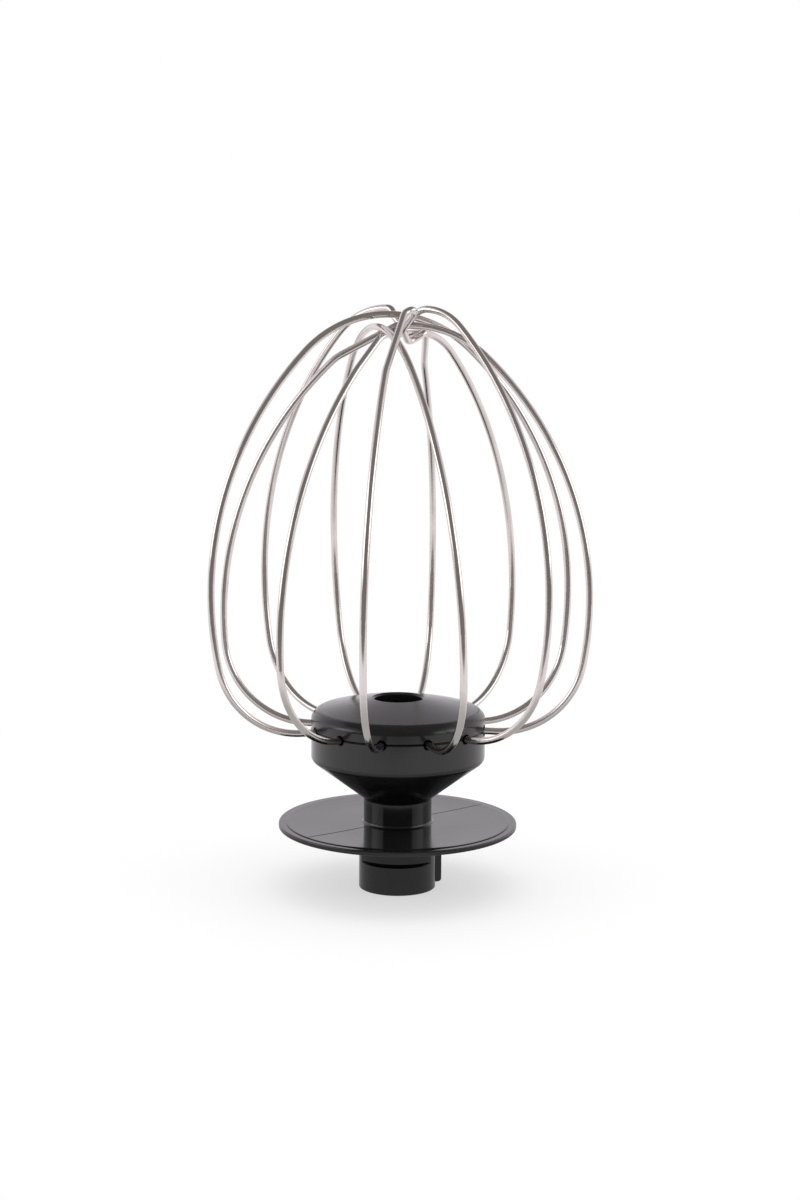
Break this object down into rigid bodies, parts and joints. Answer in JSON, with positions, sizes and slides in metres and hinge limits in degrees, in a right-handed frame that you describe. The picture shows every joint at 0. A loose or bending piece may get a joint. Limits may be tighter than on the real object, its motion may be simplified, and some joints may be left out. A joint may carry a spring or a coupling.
{
  "type": "stand mixer wire whisk",
  "caption": "Balloon whisk for a stand mixer: a cage of bent steel wires in a black hub with a domed cap, a splash disc and a drive socket.",
  "frame": {"origin": "centre of the drive socket at its open end, on which the whisk stands", "axes": "+Z along the socket's axis towards the tip of the cage, -Y towards the front, with the skirt's window"},
  "size_m": [0.0932, 0.0926, 0.145],
  "materials": {
    "hub": "satin gloss",
    "wire": "drawn and polished"
  },
  "bodies": {
    "root": {"hub_body": "hub", "hub_cap": "hub", "wire_loop_front": "wire", "wire_loop_front_right": "wire", "wire_loop_right": "wire", "wire_loop_side": "wire", "wire_loop_left": "wire", "wire_loop_front_left": "wire"}
  },
  "joints": []
}
